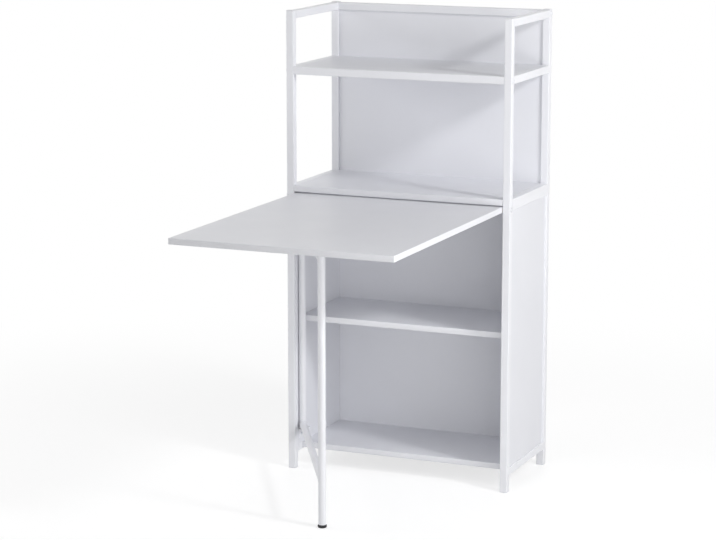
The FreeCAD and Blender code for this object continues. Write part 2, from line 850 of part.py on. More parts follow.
def gate_pivot_pins():
    """Headed pins through the lugs into the stile's bushes."""
    pins = []
    for face, inward in ((lower_lug_top(), Z_AXIS), (upper_lug_underside(), Z_AXIS * -1)):
        back = Vector(stile_x, stile_v, face) - inward * bracket_plate
        length = bracket_plate + gate_bush_end_gap + gate_bush_flange + gate_pin_reach
        shank = rod(gate_pin, length, back.x, back.y, back.z, inward)
        head = washer_head(gate_pin + 2 * gate_pin_head_rim, gate_pin_head_height, back.x, back.y, back.z,
                           inward * -1, flange_round)
        pins.append(shank.fuse(head))
    return group(pins)


def frame_nodes():
    """Every tube and board node of the frame, by name."""
    nodes = {}
    for name, side in SIDES.items():
        nodes[name + "_front_post"] = front_post(side)
        nodes[name + "_rear_post"] = rear_post(side)
        nodes[name + "_top_rail"] = side_rail(side, post_top, tube)
        nodes[name + "_shelf_rail"] = side_rail(side, upper_shelf_top, tube)
        nodes[name + "_desk_rail"] = desk_rail(side)
        nodes[name + "_bottom_rail"] = drilled_side_rail(side, bottom_rail_top, tube, panel_screw)
        nodes[name + "_side_panel"] = side_panel(side)
    nodes["rear_top_rail"] = cross_rail(rear_post_v, post_top)
    nodes["upper_shelf_front_rail"] = cross_rail(0, upper_shelf_top)
    return nodes


def tab_nodes():
    """The welded tabs of the three boards that lie on them, by name."""
    names = ("upper_shelf_tabs", "cabinet_top_tabs", "bottom_board_tabs")
    return {name: board_tabs(underside, v0, v1) for name, (underside, v0, v1) in zip(names, tabbed_boards())}


SINGLE_NODES = (
    post_caps, post_feet, cross_rail_bolts, cross_rail_nut_plugs, tab_screws,
    upper_shelf, cabinet_top_board, middle_shelf, bottom_board, shelf_edge_bands,
    upper_back_panel, lower_back_panel, back_lugs, back_lug_screws,
    panel_dowels, panel_screws, shelf_pins,
    desktop, desktop_long_bands, desktop_side_bands, pivot_bushes, pivot_inserts, pivot_bolts,
    gate_stile, gate_leg, gate_leg_cap, gate_leg_insert, gate_leg_glide, gate_bushes,
    lower_pivot_bracket, upper_pivot_bracket, bracket_screws, gate_pivot_pins,
)


def all_nodes():
    """Every node of the desk, by name."""
    nodes = frame_nodes()
    nodes.update(tab_nodes())
    for build in SINGLE_NODES:
        nodes[build.__name__] = build()
    nodes["gate_top_rail"] = gate_rail(gate_top_rail_level())
    nodes["gate_bottom_rail"] = gate_rail(gate_bottom_rail_level())
    return nodes


def main():
    os.makedirs("parts", exist_ok=True)
    for name, shape in all_nodes().items():
        shape.exportStep("parts/" + name + ".step")


main()
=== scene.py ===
"""Looks of the folding desk: finishes, small made parts, floor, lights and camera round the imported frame.

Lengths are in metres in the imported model's own frame: X to the user's right, Y to the back and Z up.
"""
import json
import logging
import math
from dataclasses import dataclass
from enum import Enum
from typing import Callable

import bmesh
import bpy
from mathutils import Matrix, Vector


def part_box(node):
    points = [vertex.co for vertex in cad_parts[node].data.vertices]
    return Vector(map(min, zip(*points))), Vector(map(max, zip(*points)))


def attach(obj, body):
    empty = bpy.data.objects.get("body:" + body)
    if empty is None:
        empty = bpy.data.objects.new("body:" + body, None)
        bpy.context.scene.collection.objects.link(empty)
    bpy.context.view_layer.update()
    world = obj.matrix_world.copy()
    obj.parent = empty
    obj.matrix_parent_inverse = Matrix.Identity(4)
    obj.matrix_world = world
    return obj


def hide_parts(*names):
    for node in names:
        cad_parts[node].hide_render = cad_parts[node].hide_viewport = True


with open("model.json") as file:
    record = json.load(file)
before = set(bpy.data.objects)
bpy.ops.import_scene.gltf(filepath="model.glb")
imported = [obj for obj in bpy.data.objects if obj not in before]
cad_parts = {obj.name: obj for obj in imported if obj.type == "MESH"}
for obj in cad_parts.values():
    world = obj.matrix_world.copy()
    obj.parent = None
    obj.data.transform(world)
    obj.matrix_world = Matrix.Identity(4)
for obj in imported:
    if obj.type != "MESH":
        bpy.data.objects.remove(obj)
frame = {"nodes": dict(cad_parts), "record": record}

log = logging.getLogger("folding desk")

Colour = tuple[float, float, float]
Point = tuple[float, float, float]
Step = tuple[float, float]
Profile = list[tuple[float, float]]


class Body(Enum):
    """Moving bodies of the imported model."""

    FRAME = "frame"
    DESKTOP = "desktop"
    GATE = "gate_leg"


class Slot(Enum):
    """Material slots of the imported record."""

    PAINT = "frame_paint"
    BOARD = "board_white"
    DESKTOP = "desktop_white"
    BAND = "edge_band_white"
    PLASTIC = "plastic_white"
    GLIDE = "glide_black"
    ZINC = "zinc_steel"
    BOLT = "bolt_white"
    NYLON = "nylon_natural"
    DOWEL = "dowel_wood"


class Element(Enum):
    """What is picked in edit mode."""

    FACE = "FACE"
    EDGE = "EDGE"


class Recess(Enum):
    """Shape of the driver recess in a fastener's head."""

    CROSS = "cross"
    HEXAGON = "hexagon"


# Finishes

# Middle of a soft random pattern, which is stretched to the whole range of a value
PATTERN_WEAK = 0.3
PATTERN_STRONG = 0.7


@dataclass(frozen=True)
class Drift:
    """How the colour and the gloss of a finish drift over a surface.

    Clouds are patches of colour and smears are patches of gloss, both counted per metre. The colour
    runs between two shares of itself, and the roughness between a little below and above itself.
    """

    clouds: float
    cloud_detail: float
    dimmest_share: float
    brightest_share: float
    smears: float
    smear_detail: float
    glossier: float
    duller: float


class Surface:
    """One node material under construction."""

    def __init__(self, name: str, colour: Colour, roughness: float) -> None:
        """Start a material with a plain shader.

        Args:
            name: Name of the material.
            colour: Linear base colour before any variation.
            roughness: Roughness before any variation.
        """
        self.material = bpy.data.materials.new(name)
        self.material.use_nodes = True
        self.tree = self.material.node_tree
        self.shader = self.tree.nodes["Principled BSDF"]
        self.shader.inputs["Base Color"].default_value = (*colour, 1.0)
        self.shader.inputs["Roughness"].default_value = roughness

    def spot(self, stretch: Point = (1.0, 1.0, 1.0)) -> bpy.types.NodeSocket:
        """Coordinates fixed to the piece.

        Args:
            stretch: Scale of the pattern along each axis.

        Returns:
            The vector socket to feed a texture.
        """
        coordinates = self.tree.nodes.new("ShaderNodeTexCoord")
        mapping = self.tree.nodes.new("ShaderNodeMapping")
        mapping.inputs["Scale"].default_value = stretch
        self.tree.links.new(coordinates.outputs["Object"], mapping.inputs["Vector"])
        return mapping.outputs["Vector"]

    def noise(self, scale: float, detail: float = 2.0,
              stretch: Point = (1.0, 1.0, 1.0)) -> bpy.types.NodeSocket:
        """A soft random pattern.

        Args:
            scale: Features per metre, about.
            detail: Octaves of finer structure.
            stretch: Scale of the pattern along each axis.

        Returns:
            The pattern's value socket.
        """
        node = self.tree.nodes.new("ShaderNodeTexNoise")
        node.inputs["Scale"].default_value = scale
        node.inputs["Detail"].default_value = detail
        self.tree.links.new(self.spot(stretch), node.inputs["Vector"])
        return node.outputs["Fac"]

    def spread(self, value: bpy.types.NodeSocket, low: float, high: float) -> bpy.types.NodeSocket:
        """Stretch the middle of a pattern to a range.

        Args:
            value: Pattern socket.
            low: Result where the pattern is weak.
            high: Result where it is strong.

        Returns:
            The mapped value socket.
        """
        node = self.tree.nodes.new("ShaderNodeMapRange")
        node.inputs["From Min"].default_value = PATTERN_WEAK
        node.inputs["From Max"].default_value = PATTERN_STRONG
        node.inputs["To Min"].default_value = low
        node.inputs["To Max"].default_value = high
        self.tree.links.new(value, node.inputs["Value"])
        return node.outputs["Result"]

    def tint(self, value: bpy.types.NodeSocket, weak: Colour, strong: Colour) -> None:
        """Let a pattern vary the base colour.

        Args:
            value: Pattern socket.
            weak: Colour where the pattern is weak.
            strong: Colour where it is strong.
        """
        node = self.tree.nodes.new("ShaderNodeMix")
        node.data_type = "RGBA"
        colours = [socket for socket in node.inputs if socket.type == "RGBA"]
        colours[0].default_value = (*weak, 1.0)
        colours[1].default_value = (*strong, 1.0)
        self.tree.links.new(self.spread(value, 0.0, 1.0), node.inputs["Factor"])
        result = next(socket for socket in node.outputs if socket.type == "RGBA")
        self.tree.links.new(result, self.shader.inputs["Base Color"])

    def polish(self, value: bpy.types.NodeSocket, low: float, high: float) -> None:
        """Let a pattern vary the roughness between two values."""
        self.tree.links.new(self.spread(value, low, high), self.shader.inputs["Roughness"])

    def vary(self, colour: Colour, roughness: float, drift: Drift) -> None:
        """Let the colour and the gloss drift over the surface.

        Args:
            colour: Base colour of the finish.
            roughness: Roughness of the finish.
            drift: How far and how often they change.
        """
        clouds = self.noise(drift.clouds, drift.cloud_detail)
        self.tint(clouds, shade(colour, drift.dimmest_share), shade(colour, drift.brightest_share))
        smears = self.noise(drift.smears, drift.smear_detail)
        self.polish(smears, roughness - drift.glossier, roughness + drift.duller)

    def relief(self, heights: list[tuple[bpy.types.NodeSocket, float]]) -> None:
        """Raise patterns from the surface.

        Args:
            heights: Pattern sockets, each with its depth in metres.
        """
        below = None
        for height, depth in heights:
            bump = self.tree.nodes.new("ShaderNodeBump")
            bump.inputs["Strength"].default_value = 1.0
            bump.inputs["Distance"].default_value = depth
            self.tree.links.new(height, bump.inputs["Height"])
            if below is not None:
                self.tree.links.new(below, bump.inputs["Normal"])
            below = bump.outputs["Normal"]
        self.tree.links.new(below, self.shader.inputs["Normal"])


def shade(colour: Colour, share: float) -> Colour:
    """A colour made lighter or darker by a share."""
    return (colour[0] * share, colour[1] * share, colour[2] * share)


@dataclass(frozen=True)
class Finish:
    """What every finish has; each kind puts its own work on a plain surface."""

    name: str
    colour: Colour
    roughness: float = 0.4

    def material(self) -> bpy.types.Material:
        """Build the material of this finish.

        Returns:
            The material.
        """
        surface = Surface(self.name, self.colour, self.roughness)
        self.work(surface)
        return surface.material

    def work(self, surface: Surface) -> None:
        """Put the finish on a plain surface."""
        raise NotImplementedError


@dataclass(frozen=True)
class PowderCoat(Finish):
    """Baked powder paint with a faint orange peel of two sizes."""

    roughness: float = 0.38
    peel: float = 420.0
    peel_depth: float = 0.00006
    fine_peel_ratio: float = 5.0
    fine_depth_share: float = 0.2
    coat: float = 0.12
    coat_roughness: float = 0.25
    drift: Drift = Drift(clouds=9.0, cloud_detail=3.0, dimmest_share=0.985, brightest_share=1.01,
                         smears=28.0, smear_detail=4.0, glossier=0.04, duller=0.06)

    def work(self, surface: Surface) -> None:
        """Put the paint on.

        Args:
            surface: The plain surface.
        """
        surface.shader.inputs["Coat Weight"].default_value = self.coat
        surface.shader.inputs["Coat Roughness"].default_value = self.coat_roughness
        surface.vary(self.colour, self.roughness, self.drift)
        coarse = surface.noise(self.peel)
        fine = surface.noise(self.peel * self.fine_peel_ratio)
        surface.relief([(coarse, self.peel_depth), (fine, self.peel_depth * self.fine_depth_share)])


@dataclass(frozen=True)
class Melamine(Finish):
    """Melamine-faced board with a fine pearl print over slight waves."""

    roughness: float = 0.42
    pearl: float = 1500.0
    pearl_depth: float = 0.000025
    pearl_detail: float = 3.0
    waves: float = 60.0
    drift: Drift = Drift(clouds=2.6, cloud_detail=4.0, dimmest_share=0.982, brightest_share=1.012,
                         smears=14.0, smear_detail=5.0, glossier=0.05, duller=0.07)

    def work(self, surface: Surface) -> None:
        """Put the board's face on.

        Args:
            surface: The plain surface.
        """
        surface.vary(self.colour, self.roughness, self.drift)
        pearl = surface.noise(self.pearl, self.pearl_detail)
        waves = surface.noise(self.waves)
        surface.relief([(pearl, self.pearl_depth), (waves, self.pearl_depth)])


@dataclass(frozen=True)
class EdgeBand(Finish):
    """Extruded band with faint lines along its run."""

    roughness: float = 0.33
    lines: float = 900.0
    line_depth: float = 0.00003
    stretch: Point = (0.02, 0.02, 1.0)
    drift: Drift = Drift(clouds=5.0, cloud_detail=3.0, dimmest_share=0.985, brightest_share=1.01,
                         smears=22.0, smear_detail=4.0, glossier=0.04, duller=0.06)

    def work(self, surface: Surface) -> None:
        """Put the band's face on."""
        surface.vary(self.colour, self.roughness, self.drift)
        surface.relief([(surface.noise(self.lines, stretch=self.stretch), self.line_depth)])


@dataclass(frozen=True)
class MouldedPlastic(Finish):
    """Injection-moulded plastic with a spark-eroded grain."""

    roughness: float = 0.45
    grain: float = 1800.0
    grain_depth: float = 0.00005
    grain_detail: float = 3.0
    drift: Drift = Drift(clouds=40.0, cloud_detail=3.0, dimmest_share=0.96, brightest_share=1.03,
                         smears=120.0, smear_detail=3.0, glossier=0.05, duller=0.08)

    def work(self, surface: Surface) -> None:
        """Put the moulded grain on."""
        surface.vary(self.colour, self.roughness, self.drift)
        surface.relief([(surface.noise(self.grain, self.grain_detail), self.grain_depth)])


@dataclass(frozen=True)
class ZincPlate(Finish):
    """Bright zinc plate with a blue cast and faint drawing marks."""

    roughness: float = 0.28
    blue: Colour = (0.60, 0.63, 0.69)
    glossier: float = 0.06
    duller: float = 0.12
    spangle: float = 260.0
    marks: float = 1200.0
    mark_depth: float = 0.00002
    detail: float = 4.0
    mark_detail: float = 3.0

    def work(self, surface: Surface) -> None:
        """Put the plating on.

        Args:
            surface: The plain surface.
        """
        surface.shader.inputs["Metallic"].default_value = 1.0
        surface.tint(surface.noise(self.spangle, self.detail), self.colour, self.blue)
        smears = surface.noise(self.marks, self.detail)
        surface.polish(smears, self.roughness - self.glossier, self.roughness + self.duller)
        surface.relief([(surface.noise(self.marks, self.mark_detail), self.mark_depth)])


@dataclass(frozen=True)
class Beech(Finish):
    """Planed beech with its grain along Z."""

    roughness: float = 0.6
    dark: Colour = (0.44, 0.27, 0.13)
    glossier: float = 0.05
    duller: float = 0.1
    fibres: float = 500.0
    fibre_detail: float = 5.0
    fibre_stretch: Point = (1.0, 1.0, 0.06)
    fibre_depth: float = 0.00008

    def work(self, surface: Surface) -> None:
        """Put the grain on.

        Args:
            surface: The plain surface.
        """
        grain = surface.noise(self.fibres, self.fibre_detail, self.fibre_stretch)
        surface.tint(grain, self.colour, self.dark)
        surface.polish(grain, self.roughness - self.glossier, self.roughness + self.duller)
        surface.relief([(grain, self.fibre_depth)])


FINISHES: dict[Slot, Finish] = {
    Slot.PAINT: PowderCoat("white_powder_coat", (0.865, 0.87, 0.905)),
    Slot.BOARD: Melamine("white_melamine", (0.80, 0.806, 0.845)),
    Slot.DESKTOP: Melamine("desktop_melamine", (0.815, 0.82, 0.856), 0.4),
    Slot.BAND: EdgeBand("white_edge_band", (0.84, 0.845, 0.88)),
    Slot.PLASTIC: MouldedPlastic("white_moulded_plastic", (0.80, 0.805, 0.84)),
    Slot.GLIDE: MouldedPlastic("black_moulded_plastic", (0.009, 0.009, 0.011), 0.42),
    Slot.ZINC: ZincPlate("zinc_plate", (0.66, 0.67, 0.69)),
    Slot.BOLT: PowderCoat("white_bolt_enamel", (0.80, 0.805, 0.84), 0.34, peel=700.0, peel_depth=0.00003),
    Slot.NYLON: MouldedPlastic("natural_nylon", (0.72, 0.71, 0.66), 0.38, grain=900.0, grain_depth=0.00003),
    Slot.DOWEL: Beech("beech", (0.55, 0.37, 0.20)),
}

BACK_PANELS = ("upper_back_panel", "lower_back_panel")
# Back panels: a smoother melamine with a finer pearl. Its grey is lifted above the board's as painted
# light, standing in for light that falls on the panels beyond what the lamps give.
BACK_PANEL_PAINTED_LIGHT_FINISH = Melamine("back_panel_melamine_painted_light", (0.835, 0.841, 0.88), 0.46,
                             pearl=700.0, pearl_depth=0.00002)


class Finishes:
    """Materials by slot, each made once."""

    def __init__(self) -> None:
        """Build every finish."""
        self.materials = {slot: finish.material() for slot, finish in FINISHES.items()}
        # Back panels' finish, whose lighter grey is painted light
        self.back_board = BACK_PANEL_PAINTED_LIGHT_FINISH.material()

    def dress(self, piece: bpy.types.Object, slot: Slot) -> None:
        """Give an object its finish.

        Args:
            piece: The object to dress.
            slot: The record's slot that the finish stands for.
        """
        if not piece.material_slots:
            piece.data.materials.append(None)
        for holder in piece.material_slots:
            holder.link = "OBJECT"
            holder.material = self.materials[slot]

    def dress_packed_nodes(self) -> None:
        """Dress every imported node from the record's own list."""
        for part in frame["record"]["subparts"]:
            self.dress(frame["nodes"][part["node"]], Slot(part["material_slot"]))
        # The back panels take the finish whose lighter grey is painted light
        for node in BACK_PANELS:
            for holder in frame["nodes"][node].material_slots:
                holder.material = self.back_board


# Bench

# Distance under which doubled corners are merged, and under which two places count as one
MERGE = 1e-6
CLOSE = 1e-5

# Least share of a face's normal along the axis that it looks along
SQUARE = 0.9

# Corners of a turned ring, on small parts and on those that show
LATHE_SIDES = 32
FINE_LATHE_SIDES = 48

# Edges sharper than this stay crisp, in degrees: in general, and in a rippled bead
CRISP_ANGLE = 35.0
BEAD_ANGLE = 60.0

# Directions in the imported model's frame
RIGHT = Vector((1, 0, 0))
BACK = Vector((0, 1, 0))
FRONT = Vector((0, -1, 0))
UP = Vector((0, 0, 1))
DOWN = Vector((0, 0, -1))


@dataclass(frozen=True)
class Solid:
    """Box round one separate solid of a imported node."""

    low: Vector
    high: Vector

    @property
    def centre(self) -> Vector:
        """Middle of the box."""
        return (self.low + self.high) / 2

    @property
    def size(self) -> Vector:
        """Lengths of the box's sides."""
        return self.high - self.low

    @property
    def side(self) -> float:
        """One on the right of the desk's middle, minus one on the left."""
        return math.copysign(1.0, self.centre.x)


def solids_of(node: str) -> list[Solid]:
    """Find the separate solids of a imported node.

    Args:
        node: Name of the node.

    Returns:
        One box for each solid, in a steady order.
    """
    copy = bmesh.new()
    copy.from_mesh(frame["nodes"][node].data)
    bmesh.ops.remove_doubles(copy, verts=copy.verts, dist=MERGE)
    found = []
    waiting = set(copy.verts)
    while waiting:
        reach = [waiting.pop()]
        corners = []
        while reach:
            vertex = reach.pop()
            corners.append(vertex.co.copy())
            for edge in vertex.link_edges:
                other = edge.other_vert(vertex)
                if other in waiting:
                    waiting.remove(other)
                    reach.append(other)
        low = Vector(tuple(min(c[axis] for c in corners) for axis in range(3)))
        high = Vector(tuple(max(c[axis] for c in corners) for axis in range(3)))
        found.append(Solid(low, high))
    copy.free()
    return sorted(found, key=lambda solid: tuple(round(value, 5) for value in solid.centre))


def clear_selection() -> None:
    """Leave edit mode and deselect every object."""
    if bpy.context.object is not None and bpy.context.object.mode != "OBJECT":
        bpy.ops.object.mode_set(mode="OBJECT")
    bpy.ops.object.select_all(action="DESELECT")


class Workpiece:
    """One mesh on the bench, shaped with the modelling tools."""

    def __init__(self, name: str) -> None:
        """Take up the object that the last tool made.

        Args:
            name: Name that the piece carries.
        """
        self.thing = bpy.context.object
        self.thing.name = name
        self.thing.data.name = name

    @classmethod
    def block(cls, name: str, low: Point, high: Point) -> "Workpiece":
        """Start from a block.

        Args:
            name: Name of the piece.
            low: Lowest corner.
            high: Highest corner.

        Returns:
            The block.
        """
        clear_selection()
        middle = [(a + b) / 2 for a, b in zip(low, high)]
        bpy.ops.mesh.primitive_cube_add(size=1.0, location=middle)
        bpy.ops.transform.resize(value=[b - a for a, b in zip(low, high)])
        piece = cls(name)
        piece.settle()
        return piece

    @classmethod
    def disc(cls, name: str, radius: float, height: float, sides: int) -> "Workpiece":
        """Start from a flat disc that lies across the Z axis.

        Args:
            name: Name of the piece.
            radius: Radius of the disc.
            height: Its place on the axis.
            sides: Corners of its rim.

        Returns:
            The disc.
        """
        clear_selection()
        bpy.ops.mesh.primitive_circle_add(vertices=sides, radius=radius, fill_type="NGON",
                                          location=(0, 0, height))
        piece = cls(name)
        piece.settle()
        return piece

    @classmethod
    def turned(cls, name: str, profile: Profile, sides: int = LATHE_SIDES) -> "Workpiece":
        """Draw a disc up through a profile, as on a lathe.

        Args:
            name: Name of the piece.
            profile: Radius and height of each ring, from the foot up.
            sides: Corners of each ring.

        Returns:
            The closed turned piece, its axis along Z.
        """
        radius, height = profile[0]
        piece = cls.disc(name, radius, height, sides)
        piece.edit()
        bpy.ops.mesh.select_all(action="SELECT")
        for next_radius, next_height in profile[1:]:
            rise = next_height - height
            ratio = next_radius / radius
            bpy.ops.mesh.extrude_region_move(TRANSFORM_OT_translate={"value": (0, 0, rise)})
            bpy.ops.transform.resize(value=(ratio, ratio, 1.0), center_override=(0, 0, next_height))
            radius, height = next_radius, next_height
        bpy.ops.mesh.select_all(action="SELECT")
        bpy.ops.mesh.normals_make_consistent(inside=False)
        piece.done()
        return piece

    def use(self) -> None:
        """Make this the only selected object."""
        clear_selection()
        self.thing.select_set(True)
        bpy.context.view_layer.objects.active = self.thing

    def edit(self) -> None:
        """Open the piece in edit mode."""
        self.use()
        bpy.ops.object.mode_set(mode="EDIT")

    def done(self) -> None:
        """Go back to object mode."""
        bpy.ops.object.mode_set(mode="OBJECT")

    def pick(self, element: Element, wanted: Callable[..., bool]) -> None:
        """Select only the faces or edges that pass a test; the piece is in edit mode.

        Args:
            element: What is picked.
            wanted: Test of one face or edge.
        """
        bpy.ops.mesh.select_mode(type=element.value)
        bpy.ops.mesh.select_all(action="DESELECT")
        mesh = bmesh.from_edit_mesh(self.thing.data)
        for item in mesh.faces if element is Element.FACE else mesh.edges:
            if wanted(item):
                item.select_set(True)
        bmesh.update_edit_mesh(self.thing.data)

    def round_edges(self, wanted: Callable[..., bool], width: float, segments: int = 3) -> None:
        """Bevel the edges that pass a test.

        Args:
            wanted: Test of one edge.
            width: Width of the bevel.
            segments: Facets across it.
        """
        self.edit()
        self.pick(Element.EDGE, wanted)
        bpy.ops.mesh.bevel(offset=width, segments=segments, affect="EDGES")
        self.done()

    def draw(self, wanted: Callable[..., bool], axis: Vector, steps: list[Step]) -> None:
        """Draw a level face up or down in steps, each scaled about an upright axis.

        Args:
            wanted: Test of the face to start from.
            axis: A point of the axis.
            steps: Rise and scale of each step.
        """
        self.edit()
        self.pick(Element.FACE, wanted)
        for rise, ratio in steps:
            bpy.ops.mesh.extrude_region_move(TRANSFORM_OT_translate={"value": (0, 0, rise)})
            bpy.ops.transform.resize(value=(ratio, ratio, 1.0), center_override=axis)
        self.done()

    def push_out(self, wanted: Callable[..., bool], move: Point) -> None:
        """Extrude the faces that pass a test.

        Args:
            wanted: Test of one face.
            move: Way and length of the extrusion.
        """
        self.edit()
        self.pick(Element.FACE, wanted)
        bpy.ops.mesh.extrude_region_move(TRANSFORM_OT_translate={"value": move})
        self.done()

    def slice(self, point: Point, normal: Point) -> None:
        """Cut a line round the piece where a plane meets it.

        Args:
            point: A point of the plane.
            normal: The plane's direction.
        """
        self.edit()
        bpy.ops.mesh.select_all(action="SELECT")
        bpy.ops.mesh.bisect(plane_co=point, plane_no=normal)
        self.done()

    def join_in(self, other: "Workpiece", operation: str) -> None:
        """Combine with another solid by a boolean, which uses the other up.

        Args:
            other: The second solid.
            operation: UNION, DIFFERENCE or INTERSECT.
        """
        self.use()
        modifier = self.thing.modifiers.new("combine", "BOOLEAN")
        modifier.operation = operation
        modifier.object = other.thing
        modifier.solver = "EXACT"
        bpy.ops.object.modifier_apply(modifier=modifier.name)
        bpy.data.objects.remove(other.thing)

    def ease(self, width: float, segments: int = 2, angle: float = CRISP_ANGLE) -> None:
        """Round every sharp edge with a bevel modifier and apply it.

        Args:
            width: Width of the bevel.
            segments: Facets across it.
            angle: Edges sharper than this are rounded, in degrees.
        """
        self.use()
        modifier = self.thing.modifiers.new("ease", "BEVEL")
        modifier.width = width
        modifier.segments = segments
        modifier.limit_method = "ANGLE"
        modifier.angle_limit = math.radians(angle)
        bpy.ops.object.modifier_apply(modifier=modifier.name)

    def settle(self) -> None:
        """Put the place, turn and scale into the mesh."""
        self.use()
        bpy.ops.object.transform_apply(location=True, rotation=True, scale=True)

    def stand_at(self, axis: Vector) -> None:
        """Move a turned piece level until its axis passes a point.

        Args:
            axis: A point of the upright axis.
        """
        self.use()
        bpy.ops.transform.translate(value=(axis.x, axis.y, 0))
        self.settle()

    def copy_to(self, place: Matrix) -> "Workpiece":
        """Make a copy with its own mesh at a place.

        Args:
            place: Where the copy's own axes go.

        Returns:
            The copy, its place already in its mesh.
        """
        self.use()
        bpy.ops.object.duplicate(linked=False)
        copy = Workpiece(self.thing.name + "_copy")
        copy.thing.matrix_world = place
        copy.settle()
        return copy

    def discard(self) -> None:
        """Take the piece off the bench."""
        bpy.data.objects.remove(self.thing)


def looks_up(face: bmesh.types.BMFace) -> bool:
    """Whether a face looks up."""
    return face.normal.z > SQUARE


def looks_down(face: bmesh.types.BMFace) -> bool:
    """Whether a face looks down."""
    return face.normal.z < -SQUARE


def keeps(edge: bmesh.types.BMEdge, axis: str) -> bool:
    """Whether an edge keeps one place along an axis, such as z for a level edge."""
    return abs(getattr(edge.verts[0].co, axis) - getattr(edge.verts[1].co, axis)) < CLOSE


def lies_at(edge: bmesh.types.BMEdge, **places: float) -> bool:
    """Whether both ends of an edge lie at the given places along the named axes."""
    return all(abs(getattr(vertex.co, axis) - place) < CLOSE
               for vertex in edge.verts for axis, place in places.items())


def rounded(start: tuple[float, float], end: tuple[float, float], steps: int = 4) -> Profile:
    """Quarter round between two rings of a turned profile, bulging outwards.

    Args:
        start: Radius and height of the lower ring.
        end: Radius and height of the upper ring.
        steps: Stretches that make up the round.

    Returns:
        The rings from the lower one to the upper one.
    """
    (near, low), (far, high) = start, end
    rings: Profile = []
    for index in range(steps + 1):
        turn = math.radians(90.0) * index / steps
        if far > near:
            rings.append((near + (far - near) * math.sin(turn), high - (high - low) * math.cos(turn)))
        else:
            rings.append((far + (near - far) * math.cos(turn), low + (high - low) * math.sin(turn)))
    return rings


def gather(name: str, pieces: list[Workpiece]) -> Workpiece:
    """Join loose pieces into one object.

    Args:
        name: Name of the whole.
        pieces: The pieces, which it uses up.

    Returns:
        The joined piece.
    """
    clear_selection()
    for piece in pieces:
        piece.thing.select_set(True)
    bpy.context.view_layer.objects.active = pieces[0].thing
    bpy.ops.object.join()
    return Workpiece(name)


def facing(direction: Vector, at: Vector) -> Matrix:
    """Place that turns a piece's Z axis to a direction and moves it to a point."""
    return Matrix.Translation(at) @ direction.to_track_quat("Z", "Y").to_matrix().to_4x4()


@dataclass
class Maker:
    """Hands finished pieces over to the desk's bodies."""

    finishes: Finishes

    def hand_over(self, piece: Workpiece, body: Body, slot: Slot, *nodes: str,
                  angle: float = CRISP_ANGLE) -> None:
        """Smooth, dress and mount a finished piece.

        Args:
            piece: The piece, in its place.
            body: Body that carries it.
            slot: Finish of the piece.
            nodes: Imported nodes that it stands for.
            angle: Edges sharper than this stay crisp, in degrees.
        """
        piece.use()
        bpy.ops.object.shade_smooth_by_angle(angle=math.radians(angle))
        self.finishes.dress(piece.thing, slot)
        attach(piece.thing, body.value)
        if nodes:
            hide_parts(*nodes)
        log.info("%s: %d faces", piece.thing.name, len(piece.thing.data.polygons))


@dataclass
class Job:
    """One kind of work on the desk, with the maker who takes it over."""

    maker: Maker


# Fasteners


@dataclass
class Fastener:
    """A round-headed screw or bolt with a driver recess."""

    recess: Recess
    head_radius: float
    head_height: float
    shank_radius: float
    recess_width: float
    recess_depth: float
    point_share: float = 0.55
    full_share: float = 0.9
    rim_share: float = 0.97
    dome_start_share: float = 0.12
    crown_share: float = 0.45
    dome_steps: int = 5
    cutter_share: float = 1.2
    key_sides: int = 6
    key_point_share: float = 0.2
    key_point_drop: float = 0.3
    blade_share: float = 0.28
    blade_point_share: float = 0.55

    def model(self, name: str, shank_length: float) -> Workpiece:
        """Model one fastener, seated on Z zero with its head above.

        Args:
            name: Name of the piece.
            shank_length: Length below the seat.

        Returns:
            The fastener.
        """
        shank, head, height = self.shank_radius, self.head_radius, self.head_height
        point = (shank * self.point_share, -shank_length)
        body = [(shank, -shank_length * self.full_share), (shank, 0.0), (head * self.rim_share, 0.0)]
        side, crown = (head, height * self.dome_start_share), (head * self.crown_share, height)
        piece = Workpiece.turned(name, [point] + body + rounded(side, crown, self.dome_steps))
        for cutter in self.cutters(name):
            piece.join_in(cutter, "DIFFERENCE")
        return piece

    def cutters(self, name: str) -> list[Workpiece]:
        """Model what takes the recess out of the head.

        Args:
            name: Name of the fastener.

        Returns:
            One key, or two crossed blades.
        """
        top = self.head_height * self.cutter_share
        foot = self.head_height - self.recess_depth
        half = self.recess_width / 2
        if self.recess is Recess.HEXAGON:
            corner = half / math.cos(math.pi / self.key_sides)
            point = (corner * self.key_point_share, foot - half * self.key_point_drop)
            return [Workpiece.turned(name + "_key", [point, (corner, foot), (corner, top)], self.key_sides)]
        blade = half * self.blade_share
        narrower = (self.blade_point_share, self.blade_point_share, 1.0)
        blades = []
        for reach_x, reach_y in ((half, blade), (blade, half)):
            cutter = Workpiece.block(name + "_blade", (-reach_x, -reach_y, foot), (reach_x, reach_y, top))
            cutter.edit()
            cutter.pick(Element.FACE, looks_down)
            bpy.ops.transform.resize(value=narrower, center_override=(0, 0, foot))
            cutter.done()
            blades.append(cutter)
        return blades


@dataclass
class FastenerSet:
    """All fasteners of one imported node, each turned a step further than the one before."""

    name: str
    node: str
    fastener: Fastener
    body: Body
    slot: Slot
    outward: Vector | None = None
    turn_step: float = 37.0

    def direction(self, solid: Solid) -> Vector:
        """Way that a head points: the set's own, or else away from the middle along X."""
        return Vector((solid.side, 0, 0)) if self.outward is None else self.outward

    def make(self, maker: Maker) -> None:
        """Model one fastener, copy it to each packed place and mount the set.

        Args:
            maker: Who takes over the finished set.
        """
        solids = solids_of(self.node)
        length = abs(solids[0].size.dot(self.direction(solids[0]))) - self.fastener.head_height
        model = self.fastener.model(self.name + "_model", length)
        copies = []
        for index, solid in enumerate(solids):
            outward = self.direction(solid)
            half = abs(solid.size.dot(outward)) / 2
            seat = solid.centre + outward * (half - self.fastener.head_height)
            turn = Matrix.Rotation(math.radians(self.turn_step * index), 4, "Z")
            copies.append(model.copy_to(facing(outward, seat) @ turn))
        model.discard()
        maker.hand_over(gather(self.name, copies), self.body, self.slot, self.node)


